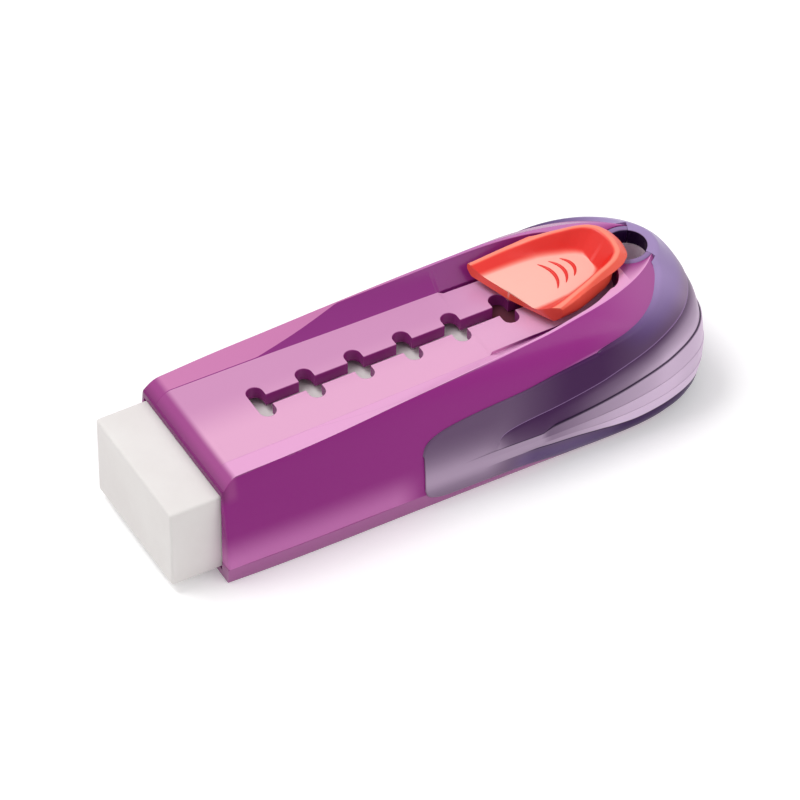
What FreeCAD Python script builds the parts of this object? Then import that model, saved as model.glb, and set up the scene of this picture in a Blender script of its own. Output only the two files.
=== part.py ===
import FreeCAD, Part
import math
import os

# A push-button sliding eraser: a vinyl block in a translucent case, moved out notch by notch.
# Frame: origin on the desk under the middle of the object, tip towards -X, +Z up, millimetres.

# ---- driving dimensions -------------------------------------------------------------------
eraser_width = 20.0
eraser_height = 12.2
eraser_length = 56.0
eraser_tip_x = -39.35
eraser_showing = 6.9
eraser_edge = 0.3

slide_clearance = 0.25
base_thickness = 1.0
deck_thickness = 1.5
deck_gap = 0.35
lap_thickness = 0.9
lap_length = 4.2

notch_count = 7
notch_pitch = 7.0
slot_width = 1.7
notch_length = 2.3
notch_width = 5.6
notch_to_eraser_end = 4.2

# outer form of the case: height, half width in front, flare of the sides towards the rear, start of the
# rear end, rear reach, and how full the rear end is in plan (2 is an ellipse, more is boxier)
case_levels = [
    (0.0, 12.15, 0.1, 21.0, 35.6, 3.2),
    (1.5, 12.35, 0.7, 21.0, 37.4, 3.4),
    (4.0, 12.4, 0.95, 21.0, 38.1, 3.6),
    (9.0, 11.95, 1.35, 21.0, 38.2, 3.9),
    (13.2, 11.25, 1.3, 21.0, 38.0, 3.3),
    (16.2, 10.65, 0.9, 20.0, 37.0, 2.3),
    (17.8, 10.0, 0.5, 17.0, 35.9, 2.1),
    (19.2, 9.0, 0.0, 13.9, 35.0, 2.0),
]
# how much further the rear grip flares than the case at those heights, and stands out behind it
grip_proud = [
    (0.0, 0.9),
    (0.0, 1.15),
    (0.0, 1.15),
    (0.0, 1.15),
    (0.1, 1.15),
    (0.3, 1.1),
    (0.5, 0.9),
    (0.5, 0.8),
]
grip_skin = 0.25
grip_bed = 0.6
mouth_taper = 0.4
# the nearly straight sides behind the mouth: x, how much narrower than full, share of the flare
side_run = [(-24.0, 0.1, 0.0), (-14.0, 0.0, 0.0), (-5.0, 0.0, 0.0), (8.0, 0.0, 0.5)]
round_end_steps = 8
mouth_lip_length = 2.5
mouth_lip_drop = 2.0
# middle of the rounded front lip, as shares of its length and of its drop
mouth_lip_middle = (0.35, 0.42)
parting_height = 2.4

# deck recess: x, half width of the flat, half width at the rim, height of the rim above the deck
recess_sections = [
    (-29.95, 7.42, 9.95, 0.05),
    (-24.0, 7.34, 10.35, 0.35),
    (-16.0, 7.24, 10.3, 0.75),
    (-6.0, 7.0, 10.0, 1.45),
    (5.0, 6.8, 9.55, 2.1),
    (14.0, 6.6, 9.1, 2.65),
    (19.0, 6.55, 8.45, 2.95),
    (23.0, 6.1, 7.55, 3.0),
    (26.0, 5.0, 6.2, 3.0),
    (28.0, 3.2, 4.6, 3.0),
    (28.75, 1.2, 2.4, 3.0),
]
deck_groove_start = 8.35
deck_groove_limit = 24.0
deck_groove_width = 0.5
deck_groove_depth = 0.5

# upper edge of the rear grip on the side of the case: x, height
grip_seam = [
    (-4.5, 9.3),
    (-4.2, 10.3),
    (-3.6, 11.0),
    (-1.0, 12.0),
    (4.4, 12.9),
    (9.9, 13.5),
    (15.3, 14.5),
    (20.9, 15.5),
    (27.2, 16.3),
    (30.7, 17.0),
    (33.2, 17.9),
    (34.2, 19.9),
]
# lower edge of the rear grip: x, height
grip_hem = [
    (-4.5, 3.1),
    (-3.8, 1.8),
    (-1.4, 1.2),
    (9.6, 1.3),
    (16.0, 0.4),
]
# shallow recess around the grip: depth, then its upper lip and lower lip as x, height
grip_recess_depth = 0.4
grip_recess_upper = [(6.4, 6.8), (6.9, 8.2), (9.5, 9.5), (13.7, 10.0), (19.5, 11.1), (24.2, 12.3),
                     (35.0, 14.7)]
grip_recess_lower = [(6.4, 5.9), (13.1, 5.8), (14.0, 6.8), (19.0, 7.5), (23.2, 8.6), (27.5, 9.6),
                     (33.0, 10.4)]

lanyard_x = 31.85
lanyard_radius = 2.75
lanyard_plate = 2.2
lanyard_ring = 0.95
grip_plate_offset = 2.0
bush_wall = 0.8
bush_foot = 0.3
fit_clearance = 0.1
rear_bay_radius = 7.5
rear_bay_x = 27.2
rear_bay_setback = 1.0

tongue_length = 38.0
tongue_width = 0.7
tongue_height = 1.6
tongue_inset = 0.55
tongue_setback = 3.0

press_travel = 0.9
lug_engagement = 0.6
lug_thickness = 0.9
stem_clearance = 0.2
collar_length = 4.4
collar_width = 8.0
collar_thickness = 1.0
shank_radius = 1.5
shank_length = 5.0
peg_height = 0.6

button_gap = 1.2
button_floor = 1.2
# half outline of the button: x, then half width at the sole, at the pocket's top, at the brim, at the top
button_sides = [
    (10.0, 6.2, 6.9, 6.9, 6.2),
    (18.0, 6.2, 6.9, 6.9, 6.2),
    (21.0, 6.0, 6.6, 6.4, 5.5),
    (24.5, 4.9, 5.6, 5.8, 4.8),
    (27.0, 3.0, 3.9, 5.0, 3.9),
]
button_sole_end = 28.0
button_waist_end = 28.4
button_brim_end = 31.1
button_top_end = 29.7
button_brim_height = 4.05
button_top_height = 5.25
button_tail_bend = 0.12
# upper edge of the button from the side: x, height above the deck
button_rim = [(10.0, 2.9), (14.0, 3.05), (18.0, 3.5), (21.0, 4.2), (25.0, 4.9), (28.5, 5.2), (32.0, 5.25)]
# half outline of the thumb hollow: x, half width at its floor, half width at the top
hollow_sides = [(8.0, 4.5, 8.2), (18.0, 4.5, 7.6), (21.0, 4.3, 6.1), (24.0, 3.4, 4.7)]
hollow_floor_end = 26.6
hollow_top_end = 29.0
hollow_tail_bend = 0.25
# the button's front edge is cut on the slant: left end, right end, then the clipped corner
button_front_left = (12.4, 6.85)
button_front_right = (16.3, -5.5)
button_corner = (19.2, -7.4)

carrier_length = 8.2
carrier_half_width = 8.0
barb_radius = 0.8
barb_tip_radius = 0.32
barb_length = 5.0
barb_spread = 5.0
spring_wire = 0.35
spring_turns = 5
well_floor = 4.0

# ---- sizes that follow ----------------------------------------------------------------------
eraser_bottom = base_thickness + slide_clearance
eraser_top = eraser_bottom + eraser_height
lap_top = eraser_top + lap_thickness
deck_underside = lap_top + deck_gap
deck_height = deck_underside + deck_thickness
channel_half = eraser_width / 2 + slide_clearance
eraser_end_x = eraser_tip_x + eraser_length
mouth_x = eraser_tip_x + eraser_showing
deck_front_x = mouth_x + mouth_lip_length
mouth_roof = eraser_top + slide_clearance
stem_x = eraser_end_x + notch_to_eraser_end
first_notch_x = stem_x - (notch_count - 1) * notch_pitch
carrier_rear_x = eraser_end_x + carrier_length
form_top = case_levels[-1][0]
plate_underside = form_top - lanyard_plate
button_sole = deck_height + button_gap
lug_top = deck_underside + lug_engagement
collar_top = lug_top - lug_thickness
collar_foot = collar_top - collar_thickness
shank_foot = collar_foot - shank_length
far_out = 60.0
print("deck height", deck_height, "stem", stem_x, "first notch", first_notch_x)


def vec(x, y, z):
    return FreeCAD.Vector(x, y, z)


def box(x0, x1, y0, y1, z0, z1):
    """A block between two corners."""
    return Part.makeBox(x1 - x0, y1 - y0, z1 - z0, vec(x0, y0, z0))


def upright(x, y, radius, z0, z1):
    """A vertical cylinder."""
    return Part.makeCylinder(radius, z1 - z0, vec(x, y, z0))


def side_prism(points, half=far_out):
    """A closed outline in x and z, carried across the whole width."""
    wire = Part.makePolygon([vec(x, -half, z) for x, z in points + points[:1]])
    return Part.Face(wire).extrude(vec(0, 2 * half, 0))


def plan_prism(points, z0, z1):
    """A closed outline in x and y, carried upwards."""
    wire = Part.makePolygon([vec(x, y, z0) for x, y in points + points[:1]])
    return Part.Face(wire).extrude(vec(0, 0, z1 - z0))


def smooth(points, **ends):
    """A smooth curve through points."""
    curve = Part.BSplineCurve()
    curve.interpolate(points, **ends)
    return curve.toShape()


# ---- outer forms ----------------------------------------------------------------------------
def level_wire(height, half, flare, round_x, reach, fullness):
    """Plan outline at one height: straight front, nearly straight sides, rounded rear end."""
    right = [vec(mouth_x, mouth_taper - half, height)]
    for x, narrower, share in side_run:
        right.append(vec(x, narrower - half - share * flare, height))
    for k in range(round_end_steps):
        turn = math.pi / 2 * k / round_end_steps
        x = round_x + (reach - round_x) * math.sin(turn) ** (2 / fullness)
        right.append(vec(x, -(half + flare) * math.cos(turn) ** (2 / fullness), height))
    left = [vec(p.x, -p.y, p.z) for p in reversed(right)]
    path = right + [vec(reach, 0, height)] + left
    return Part.Wire([smooth(path), Part.makeLine(path[-1], path[0])])


def case_form():
    return Part.makeLoft([level_wire(*level) for level in case_levels], True, False)


def grip_form(inset=0.0):
    """The outside of the rear grip, or a form set in from it all round."""
    wires = []
    for level, (extra, rear) in zip(case_levels, grip_proud):
        height, half, flare, round_x, reach, fullness = level
        side = half + grip_skin - inset
        wires.append(level_wire(height, side, flare + extra, round_x, reach + rear - inset, fullness))
    return Part.makeLoft(wires, True, False)


def grip_core():
    """What the grip is moulded onto: the case form set in by the depth of the grip's bed."""
    wires = []
    for height, half, flare, round_x, reach, fullness in case_levels:
        wires.append(level_wire(height, half - grip_bed, flare, round_x, reach - grip_bed, fullness))
    return Part.makeLoft(wires, True, False)


def recess_tool():
    """Everything above the flat deck, the banks beside it and the rims of the shoulders."""
    wires = []
    for x, flat, rim, rise in [(mouth_x - 5.0,) + recess_sections[0][1:3] + (0.0,)] + recess_sections:
        low = deck_height
        high = deck_height + rise + 0.001
        half = [(flat, low), (rim, high), (far_out, high), (far_out, far_out)]
        ring = [vec(x, y, z) for y, z in half] + [vec(x, -y, z) for y, z in reversed(half)]
        wires.append(Part.makePolygon(ring + ring[:1]))
    return Part.makeLoft(wires, True, True)


def front_lip_tool():
    """The rounded fall from the deck's front edge down to the rim of the mouth."""
    top = vec(deck_front_x, -far_out, deck_height)
    along, down = mouth_lip_middle
    middle = vec(mouth_x + along * mouth_lip_length, -far_out, deck_height - down * mouth_lip_drop)
    foot = vec(mouth_x, -far_out, deck_height - mouth_lip_drop)
    out = vec(mouth_x - 10, -far_out, deck_height - mouth_lip_drop)
    up = vec(mouth_x - 10, -far_out, deck_height + 10)
    back = vec(deck_front_x, -far_out, deck_height + 10)
    edges = [Part.Arc(top, middle, foot).toShape()]
    corners = [foot, out, up, back, top]
    edges += [Part.makeLine(a, b) for a, b in zip(corners, corners[1:])]
    return Part.Face(Part.Wire(edges)).extrude(vec(0, 2 * far_out, 0))


def channel_tool():
    """The space that the eraser and its carrier slide in, with a lower roof at the mouth."""
    back = eraser_end_x + slide_clearance
    low = box(mouth_x - 5, back, -channel_half, channel_half, base_thickness, mouth_roof)
    high = box(deck_front_x, back, -channel_half, channel_half, mouth_roof, deck_underside)
    half = carrier_half_width + slide_clearance
    rear = carrier_rear_x + slide_clearance
    bay = box(eraser_end_x, rear, -half, half, base_thickness, deck_underside)
    return low.fuse(high).fuse(bay)


def rear_bay_tool():
    """The hollow rear end around the lanyard bush."""
    room = upright(rear_bay_x, 0, rear_bay_radius, base_thickness, deck_underside)
    return room.cut(box(-far_out, carrier_rear_x + rear_bay_setback, -far_out, far_out, -1, far_out))


def slot_tool():
    """The narrow slot and its row of cross notches with rounded ends."""
    low, high = deck_underside - 1, deck_height + 1
    tool = box(first_notch_x, stem_x, -slot_width / 2, slot_width / 2, low, high)
    end = notch_width / 2 - notch_length / 2
    for k in range(notch_count):
        x = first_notch_x + k * notch_pitch
        tool = tool.fuse(box(x - notch_length / 2, x + notch_length / 2, -end, end, low, high))
        for side in (-1, 1):
            tool = tool.fuse(upright(x, side * end, notch_length / 2, low, high))
    return tool


def groove_tool():
    """The two fine grooves along the edges of the flat deck, towards the button."""
    tool = None
    near = [s for s in recess_sections if s[0] > deck_groove_start and s[0] < deck_groove_limit]
    first, last = near[0], near[-1]
    for side in (-1, 1):
        outline = [
            (deck_groove_start, side * (first[1] - deck_groove_width)),
            (last[0], side * (last[1] - deck_groove_width)),
            (last[0], side * last[1]),
            (deck_groove_start, side * first[1]),
        ]
        strip = plan_prism(outline, deck_height - deck_groove_depth, deck_height + 0.1)
        tool = strip if tool is None else tool.fuse(strip)
    return tool


def hole_ring():
    """The part of the rear plate around the lanyard hole that belongs to the grip."""
    ring = upright(lanyard_x, 0, lanyard_radius + lanyard_ring, plate_underside, far_out)
    behind = box(lanyard_x + grip_plate_offset, far_out, -far_out, far_out, plate_underside, far_out)
    return ring.fuse(behind)


def tongues(clearance):
    """The ribs along both lower edges that join the base to the upper case."""
    inner = channel_half + tongue_inset - clearance
    outer = channel_half + tongue_inset + tongue_width + clearance
    start = deck_front_x + tongue_setback - clearance
    top = parting_height + tongue_height + clearance
    rib = box(start, start + tongue_length + 2 * clearance, inner, outer, parting_height - 0.01, top)
    return rib.fuse(rib.mirror(vec(0, 0, 0), vec(0, 1, 0)))


# ---- the pieces -----------------------------------------------------------------------------
outer = case_form()
hollow = channel_tool().fuse(rear_bay_tool())
lanyard_hole = upright(lanyard_x, 0, lanyard_radius, -1, far_out)
bush_seat = upright(lanyard_x, 0, lanyard_radius + bush_wall + fit_clearance, -1, plate_underside)
recess = recess_tool()
below_parting = box(-far_out, far_out, -far_out, far_out, -1, parting_height)


def upper_case():
    body = outer.cut(below_parting).cut(recess).cut(front_lip_tool()).cut(hollow).cut(grip)
    body = body.cut(slot_tool()).cut(groove_tool()).cut(hole_ring()).cut(lanyard_hole)
    return body.cut(bush_seat).cut(tongues(fit_clearance))


def lower_case():
    body = outer.common(below_parting).cut(hollow).cut(bush_seat).cut(grip)
    return body.fuse(tongues(0.0))


def eyelet_bush():
    top = plate_underside - fit_clearance
    tube = upright(lanyard_x, 0, lanyard_radius + bush_wall, bush_foot, top)
    return tube.cut(lanyard_hole)


def grip_window():
    """What the grip covers, seen from the side: between its seam and its hem."""
    seam = grip_seam + [(far_out, grip_seam[-1][1] + 5)]
    hem = grip_hem + [(far_out, grip_hem[-1][1])]
    return side_prism(seam + list(reversed(hem)))


def grip_recess():
    """The shallow recess that runs back from a rounded start on each side and around the rear."""
    upper = grip_recess_upper + [(far_out, grip_recess_upper[-1][1])]
    lower = grip_recess_lower + [(far_out, grip_recess_lower[-1][1])]
    band = side_prism(upper + list(reversed(lower)))
    return grip_form().cut(grip_form(grip_recess_depth)).common(band)


def grip_shell():
    """The grip before its shallow recess, which is also the bed that the case leaves for it."""
    shell = grip_form().common(grip_window()).cut(grip_core().cut(hole_ring()))
    return shell.cut(recess).cut(lanyard_hole)


def thumb_outline(table, column, end_x, tail_bend, height):
    """Half outline from a table at one height, rounded to its rear end, mirrored and closed in front."""
    right = [vec(row[0], -row[column], height) for row in table]
    last = table[-1]
    right.append(vec(end_x - tail_bend * (end_x - last[0]), -0.5 * last[column], height))
    left = [vec(p.x, -p.y, p.z) for p in reversed(right)]
    path = right + [vec(end_x, 0, height)] + left
    return Part.Wire([smooth(path), Part.makeLine(path[-1], path[0])])


def button_outline(column, end_x, height):
    return thumb_outline(button_sides, column, end_x, button_tail_bend, height)


def hollow_outline(column, end_x, height):
    return thumb_outline(hollow_sides, column, end_x, hollow_tail_bend, height)


def neck(z0, z1):
    """The flat neck of the stem that runs in the narrow slot, and the pocket that it fills in the button."""
    half_length = notch_length / 2 - stem_clearance
    half_width = slot_width / 2 - stem_clearance
    return box(stem_x - half_length, stem_x + half_length, -half_width, half_width, z0, z1)


def thumb_button():
    brim = deck_height + button_brim_height
    top = deck_height + button_top_height
    body = Part.makeLoft([
        button_outline(1, button_sole_end, button_sole),
        button_outline(2, button_waist_end, brim)], True, False)
    body = body.fuse(Part.makeLoft([
        button_outline(3, button_brim_end, brim - 0.02),
        button_outline(4, button_top_end, top)], True, False))
    rim = [vec(x, -far_out, deck_height + rise) for x, rise in button_rim]
    ends = [vec(rim[-1].x, -far_out, far_out), vec(rim[0].x, -far_out, far_out)]
    edges = [smooth(rim)]
    corners = [rim[-1]] + ends + [rim[0]]
    edges += [Part.makeLine(a, b) for a, b in zip(corners, corners[1:])]
    body = body.cut(Part.Face(Part.Wire(edges)).extrude(vec(0, 2 * far_out, 0)))
    floor = button_sole + button_floor
    body = body.cut(Part.makeLoft([
        hollow_outline(1, hollow_floor_end, floor),
        hollow_outline(2, hollow_top_end, top + 0.01)], True, False))
    left, right, corner = button_front_left, button_front_right, button_corner
    slope = (left[0] - right[0]) / (left[1] - right[1])
    past_left = (left[0] + slope * (12 - left[1]), 12)
    clip = (corner[1] - right[1]) / (corner[0] - right[0])
    past_corner = (corner[0] + 4, corner[1] + 4 * clip)
    outline = [past_left, right, corner, past_corner, (past_corner[0], -20), (0, -20), (0, 12)]
    body = body.cut(plan_prism(outline, 0, far_out))
    return body.cut(neck(button_sole - 1, button_sole + peg_height))


def latch_stem():
    """Neck in the slot, lugs in the cross notch, collar under the deck and a round shank."""
    radius = notch_length / 2 - stem_clearance
    straight = notch_width / 2 - stem_clearance - radius
    body = neck(collar_foot, button_sole + peg_height)
    body = body.fuse(box(stem_x - radius, stem_x + radius, -straight, straight, collar_foot, lug_top))
    for side in (-1, 1):
        body = body.fuse(upright(stem_x, side * straight, radius, collar_foot, lug_top))
    body = body.fuse(box(stem_x - collar_length / 2, stem_x + collar_length / 2,
                         -collar_width / 2, collar_width / 2, collar_foot, collar_top))
    return body.fuse(upright(stem_x, 0, shank_radius, shank_foot, collar_foot + 0.1))


def return_spring():
    """A small coil spring that stands in the carrier's well under the stem."""
    height = shank_foot - well_floor - spring_wire
    radius = shank_radius - spring_wire / 2
    helix = Part.makeHelix(height / spring_turns, height, radius)
    wire = Part.Wire(helix.Edges)
    wire.translate(vec(stem_x, 0, well_floor + spring_wire / 2))
    start = wire.Edges[0].valueAt(wire.Edges[0].FirstParameter)
    circle = Part.Wire(Part.makeCircle(spring_wire / 2, start, vec(0, 1, 0)))
    return wire.makePipeShell([circle], True, True)


def barbs():
    """Two prongs that hold the eraser's rear end on the carrier."""
    tool = None
    middle = eraser_bottom + eraser_height / 2
    for side in (-1, 1):
        tip = vec(eraser_end_x - barb_length, side * barb_spread, middle)
        prong = Part.makeCone(barb_tip_radius, barb_radius, barb_length, tip, vec(1, 0, 0))
        tool = prong if tool is None else tool.fuse(prong)
    return tool


def eraser_carrier():
    """A block behind the eraser with a lap over its top, a well for the stem and two prongs."""
    half = carrier_half_width
    body = box(eraser_end_x, carrier_rear_x, -half, half, eraser_bottom, lap_top)
    lap = box(eraser_end_x - lap_length, eraser_end_x, -half, half, eraser_top, lap_top)
    body = body.fuse(lap).fuse(barbs())
    front = stem_x - collar_length / 2 - stem_clearance
    rear = stem_x + collar_length / 2 + stem_clearance
    side = collar_width / 2 + stem_clearance
    seat = collar_foot - press_travel - stem_clearance
    body = body.cut(box(front, rear, -side, side, seat, lap_top + 1))
    return body.cut(upright(stem_x, 0, shank_radius + stem_clearance, well_floor, seat + 1))


def eraser_block():
    half = eraser_width / 2
    block = box(eraser_tip_x, eraser_end_x, -half, half, eraser_bottom, eraser_top)
    block = block.makeFillet(eraser_edge, block.Edges)
    return block.cut(barbs())


# ---- writing the pieces -----------------------------------------------------------------------
def save(name, shape):
    """Write one piece, leaving out crumbs that a cut may leave behind."""
    solids = [s for s in shape.Solids if s.Volume > 0.5]
    whole = solids[0] if len(solids) == 1 else Part.makeCompound(solids)
    whole.exportStep("parts/%s.step" % name)
    size = whole.optimalBoundingBox()
    print("%-15s solids %d valid %s volume %8.2f box %6.2f %6.2f %6.2f %6.2f %6.2f %6.2f" % (
        name, len(solids), whole.isValid(), whole.Volume,
        size.XMin, size.XMax, size.YMin, size.YMax, size.ZMin, size.ZMax))


os.makedirs("parts", exist_ok=True)
grip = grip_shell()
save("upper_case", upper_case())
save("lower_case", lower_case())
save("eyelet_bush", eyelet_bush())
save("rear_grip", grip.cut(grip_recess()))
save("thumb_button", thumb_button())
save("latch_stem", latch_stem())
save("return_spring", return_spring())
save("eraser_carrier", eraser_carrier())
save("eraser_block", eraser_block())
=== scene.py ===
import math
import bmesh
import bpy
import numpy as np
from mathutils import Matrix, Vector


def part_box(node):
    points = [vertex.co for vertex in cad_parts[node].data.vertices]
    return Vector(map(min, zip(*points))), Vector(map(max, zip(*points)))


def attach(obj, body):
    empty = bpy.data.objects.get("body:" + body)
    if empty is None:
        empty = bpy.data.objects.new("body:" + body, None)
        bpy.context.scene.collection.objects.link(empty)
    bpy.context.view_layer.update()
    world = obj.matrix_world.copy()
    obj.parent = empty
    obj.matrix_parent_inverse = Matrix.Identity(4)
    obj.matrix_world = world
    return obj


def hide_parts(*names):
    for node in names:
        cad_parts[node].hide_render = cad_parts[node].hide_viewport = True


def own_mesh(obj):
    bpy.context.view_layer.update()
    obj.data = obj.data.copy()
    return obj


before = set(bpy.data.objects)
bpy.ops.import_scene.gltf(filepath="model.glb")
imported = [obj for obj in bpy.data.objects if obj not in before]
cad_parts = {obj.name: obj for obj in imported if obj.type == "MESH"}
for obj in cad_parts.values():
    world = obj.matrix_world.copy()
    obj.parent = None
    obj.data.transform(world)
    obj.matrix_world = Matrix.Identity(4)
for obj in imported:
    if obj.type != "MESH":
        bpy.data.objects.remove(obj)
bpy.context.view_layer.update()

# The looks of a push-button sliding eraser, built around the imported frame.
# Shapes are worked out in millimetres in the frame's own axes: tip towards -X, +Z up.
MM = 0.001


def box_mm(node):
    """A node's lowest and highest corners in millimetres."""
    low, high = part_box(node)
    return np.array(low) / MM, np.array(high) / MM


case_low, case_high = box_mm("upper_case")
block_low, block_high = box_mm("eraser_block")
stem_low, stem_high = box_mm("latch_stem")
bush_low, bush_high = box_mm("eyelet_bush")

# ---- sizes, tied to the frame -----------------------------------------------------------------
TOP = case_high[2]
SHOULDER_RISE = 3.0
DECK = TOP - SHOULDER_RISE
DECK_THICK = 1.5
DECK_UNDER = DECK - DECK_THICK
PARTING = case_low[2]
MOUTH_X = case_low[0]
LIP_RUN = 2.5
LIP_X = MOUTH_X + LIP_RUN
LIP_DROP = 2.0
STEM_X = (stem_low[0] + stem_high[0]) / 2
PITCH = 7.0
NOTCHES = 7
FIRST_X = STEM_X - PITCH * (NOTCHES - 1)
SLOT_HALF = 0.85
NOTCH_R = 1.15
NOTCH_REACH = 2.8
SLIDE_GAP = 0.25
CHANNEL_HALF = block_high[1] + SLIDE_GAP
CASE_WALL = 1.1
MOUTH_ROOF = 13.7
MOUTH_ROUND = 0.3
# the deck's flat and the bank beside it close round under the button, from BOWL_X back to these ends
BOWL_X = 26.0
FLAT_HALF, FLAT_END = 5.0, 28.85
BANK_HALF, BANK_END = 6.2, 29.05
# a groove runs between flat and bank beside the button
GROOVE_START, GROOVE_END = 8.35, 25.0
GROOVE_DEEP, GROOVE_WIDE = 0.45, 0.5
# the lanyard hole, the ring around it and the place where the ring meets the grip
BUSH_WALL = 0.8
RING_WALL = 0.9
EYE_X = (bush_low[0] + bush_high[0]) / 2
EYE_R = (bush_high[0] - bush_low[0]) / 2 - BUSH_WALL
RING_R = EYE_R + RING_WALL
TIP_X = EYE_X + 2.0
# the grip's front end, how far it stands proud of the case, its thickness and the depth of its bed
GRIP_X = -4.55
GRIP_PROUD = 0.25
GRIP_THICK = 0.9
GRIP_BED = 0.85
SPRING_WIRE = 0.35
SPRING_TURNS = 5


# ---- curves -----------------------------------------------------------------------------------
def curve(x, table, steady=False):
    """Smooth curve through (x, value) pairs: cubic pieces whose end slopes average the neighbours'.
    A steady curve takes the harmonic mean instead, or a level slope at a turn, and never overshoots."""
    knots = np.array([p[0] for p in table], float)
    values = np.array([p[1] for p in table], float)
    rise = np.diff(values) / np.diff(knots)
    before, after = rise[:-1], rise[1:]
    middle = (before + after) / 2
    if steady:
        same = before * after > 0
        middle = np.where(same, 2 * before * after / np.where(same, before + after, 1.0), 0.0)
    slope = np.concatenate([rise[:1], middle, rise[-1:]])
    x = np.clip(x, knots[0], knots[-1])
    k = np.clip(np.searchsorted(knots, x, side="right") - 1, 0, len(knots) - 2)
    gap = knots[k + 1] - knots[k]
    t = (x - knots[k]) / gap
    a = values[k] * (2 * t**3 - 3 * t**2 + 1) + values[k + 1] * (3 * t**2 - 2 * t**3)
    return a + gap * (slope[k] * (t**3 - 2 * t**2 + t) + slope[k + 1] * (t**3 - t**2))


def step(x, low, high):
    """0 below low, 1 above high, smooth between."""
    t = np.clip((x - low) / (high - low), 0, 1)
    return t * t * (3 - 2 * t)


def rounding(x, start, end):
    """Height of a quarter circle: 1 at start, falling to 0 at end."""
    t = np.clip((x - start) / (end - start), 0, 1)
    return np.sqrt(1 - t * t)


# ---- outer form of the case and of the grip ----------------------------------------------------
# by height: half width in front, how far the sides flare out towards the rear, where the rear end starts,
# how far back it reaches, how full it is in plan (2 is an ellipse, more is boxier), and how much more the
# grip flares at the sides and stands out behind
FORM = {
    "half": [(0.0, 12.15), (1.5, 12.35), (4.0, 12.4), (9.0, 11.95), (13.2, 11.25), (16.2, 10.65),
             (17.8, 10.0), (19.2, 9.0)],
    "flare": [(0.0, 0.1), (1.5, 0.7), (4.0, 0.95), (9.0, 1.35), (13.2, 1.3), (16.2, 0.9), (17.8, 0.5),
              (19.2, 0.0)],
    "round_x": [(0.0, 21.0), (13.2, 21.0), (16.2, 20.0), (17.8, 17.0), (19.2, 13.9)],
    "reach": [(0.0, 35.6), (1.5, 37.4), (4.0, 38.1), (9.0, 38.2), (13.2, 38.0), (16.2, 37.0),
              (17.8, 35.9), (19.2, 35.0)],
    "fullness": [(0.0, 3.2), (1.5, 3.4), (4.0, 3.6), (9.0, 3.9), (13.2, 3.3), (16.2, 2.3), (17.8, 2.1),
                 (19.2, 2.0)],
    "grip_flare": [(0.0, 0.35), (9.0, 0.25), (13.2, 0.35), (16.2, 0.55), (17.8, 0.75), (19.2, 0.7)],
    "grip_rear": [(0.0, 0.9), (4.0, 1.15), (13.2, 1.15), (16.2, 1.1), (17.8, 0.9), (19.2, 0.8)],
}


def side_half(x, z, extra=0.0):
    """Half width of the nearly straight sides: a little narrower at the mouth, flaring towards the rear."""
    taper = 0.4 * (1 - step(x, MOUTH_X - 4, -18.0))
    share = curve(x, [(-40.0, 0.0), (-5.0, 0.0), (8.0, 0.5), (21.0, 1.0), (40.0, 1.0)])
    return curve(z, FORM["half"]) - taper + (curve(z, FORM["flare"]) + extra) * share


def case_half(x, z):
    """Half width of the case at x and height z, with the rear end as a full, rounded curve."""
    start, reach = curve(z, FORM["round_x"]), curve(z, FORM["reach"])
    full = curve(z, FORM["fullness"])
    t = np.clip((x - start) / (reach - start), 0, 1)
    return side_half(x, z) * (1 - t**full)**(1 / full)


def grip_path(u, z):
    """Plan point of the grip's outside: u from 0 to 1 runs along a side, from 1 to 2 around to the rear."""
    start = curve(z, FORM["round_x"])
    reach = curve(z, FORM["reach"]) + curve(z, FORM["grip_rear"])
    full = curve(z, FORM["fullness"])
    turn = np.clip(u - 1, 0, 1) * math.pi / 2
    x = np.where(u < 1, GRIP_X + (start - GRIP_X) * u, start + (reach - start) * np.sin(turn)**(2 / full))
    side = side_half(x, z, curve(z, FORM["grip_flare"]) - GRIP_PROUD) + GRIP_PROUD
    return x, side * np.maximum(np.cos(turn), 0)**(2 / full)


# ---- meshes -----------------------------------------------------------------------------------
WELD = 2e-6


def soften(corners, radii, steps=4):
    """Rounds a row of corner points, each an array of stations by 3, with a parabola of the given radius.
    A corner of radius 0 stays a plain point. Returns rows by stations by 3, each row's corner number and
    how far around that corner it lies."""
    rows, owner, part = [], [], []
    for k, corner in enumerate(corners):
        radius = radii[k]
        if np.ndim(radius) == 0 and radius == 0:
            rows.append(corner)
            owner.append(k)
            part.append(1.0)
            continue
        back = corners[k - 1] - corner
        ahead = corners[k + 1] - corner
        back_len = np.linalg.norm(back, axis=1, keepdims=True) + 1e-9
        ahead_len = np.linalg.norm(ahead, axis=1, keepdims=True) + 1e-9
        reach = np.minimum(radius, 0.45 * np.minimum(back_len, ahead_len))
        first = corner + back / back_len * reach
        last = corner + ahead / ahead_len * reach
        for t in np.linspace(0, 1, steps + 1):
            rows.append((1 - t) ** 2 * first + 2 * t * (1 - t) * corner + t * t * last)
            owner.append(k)
            part.append(t)
    return np.array(rows), np.array(owner), np.array(part)


def grid_faces(rows, columns, closed_rows=False):
    """Quads of a grid of rows by columns, numbered row after row."""
    last = rows if closed_rows else rows - 1
    r = np.arange(last)[:, None]
    c = np.arange(columns - 1)[None, :]
    nxt = (r + 1) % rows
    quads = np.stack([r * columns + c, r * columns + c + 1, nxt * columns + c + 1, nxt * columns + c], -1)
    return quads.reshape(-1, 4)


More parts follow.
